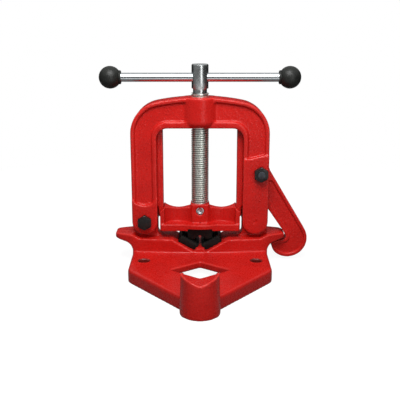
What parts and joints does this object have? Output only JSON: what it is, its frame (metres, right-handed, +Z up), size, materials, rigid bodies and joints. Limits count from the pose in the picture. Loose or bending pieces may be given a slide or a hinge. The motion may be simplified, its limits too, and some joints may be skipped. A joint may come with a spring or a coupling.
{
  "type": "pipe vise",
  "caption": "Hinged yoke pipe vise with V jaws, a screw-driven jaw slide, a swing-out latch hook and a notched pipe rest, for bolting to a bench.",
  "frame": {"origin": "on the bench face, below the spindle's axis, in the middle plane of the yoke", "axes": "+Z up along the spindle, -Y to the front where the pipe rest is, +X towards the latch"},
  "size_m": [0.2868, 0.279, 0.2741],
  "materials": {
    "red_enamel": "glossy orange-peel enamel on cast iron",
    "jaw_steel": "black-oxide hardened steel",
    "bolt_steel": "black-oxide bolt steel",
    "spindle_steel": "zinc-plated machined steel",
    "bar_steel": "bright plated bar",
    "knob_plastic": "black moulded plastic",
    "screw_zinc": "zinc-plated screw"
  },
  "bodies": {
    "base": {"base_casting": "red_enamel", "lower_jaw_left": "jaw_steel", "lower_jaw_right": "jaw_steel", "lower_jaw_screw_left": "bolt_steel", "lower_jaw_screw_right": "bolt_steel"},
    "yoke": {"yoke_casting": "red_enamel", "hinge_bolt": "bolt_steel", "hinge_nut": "bolt_steel", "latch_bolt": "bolt_steel", "latch_nut": "bolt_steel"},
    "latch": {"latch_hook": "red_enamel"},
    "jaw_carrier": {"jaw_slide": "red_enamel", "upper_jaw": "jaw_steel", "upper_jaw_screw_front": "bolt_steel", "upper_jaw_screw_rear": "bolt_steel", "spindle_retaining_screw": "screw_zinc"},
    "spindle": {"spindle": "spindle_steel"},
    "handle": {"t_bar": "bar_steel", "knob_left": "knob_plastic", "knob_right": "knob_plastic"}
  },
  "joints": [
    {"name": "yoke_hinge", "type": "hinge", "parent": "base", "child": "yoke", "pos_m": [-0.0765, 0, 0.0605], "axis": [0, -1, 0], "range_deg": [0, 88]},
    {"name": "latch_swing", "type": "hinge", "parent": "yoke", "child": "latch", "pos_m": [0.083, 0, 0.1285], "axis": [0, -1, 0], "range_deg": [0, 60]},
    {"name": "jaw_travel", "type": "slide", "parent": "yoke", "child": "jaw_carrier", "axis": [0, 0, 1], "range_m": [0, 0.1]},
    {"name": "screw_turn", "type": "hinge", "parent": "jaw_carrier", "child": "spindle", "pos_m": [0, 0, 0.2], "axis": [0, 0, 1], "range_deg": [0, 11880]},
    {"name": "bar_slide", "type": "slide", "parent": "spindle", "child": "handle", "axis": [1, 0, 0], "range_m": [-0.094, 0.094]}
  ],
  "couplings": [
    {"joint": "jaw_travel", "follows": "screw_turn", "m_per_rad": 0.00047746}
  ]
}
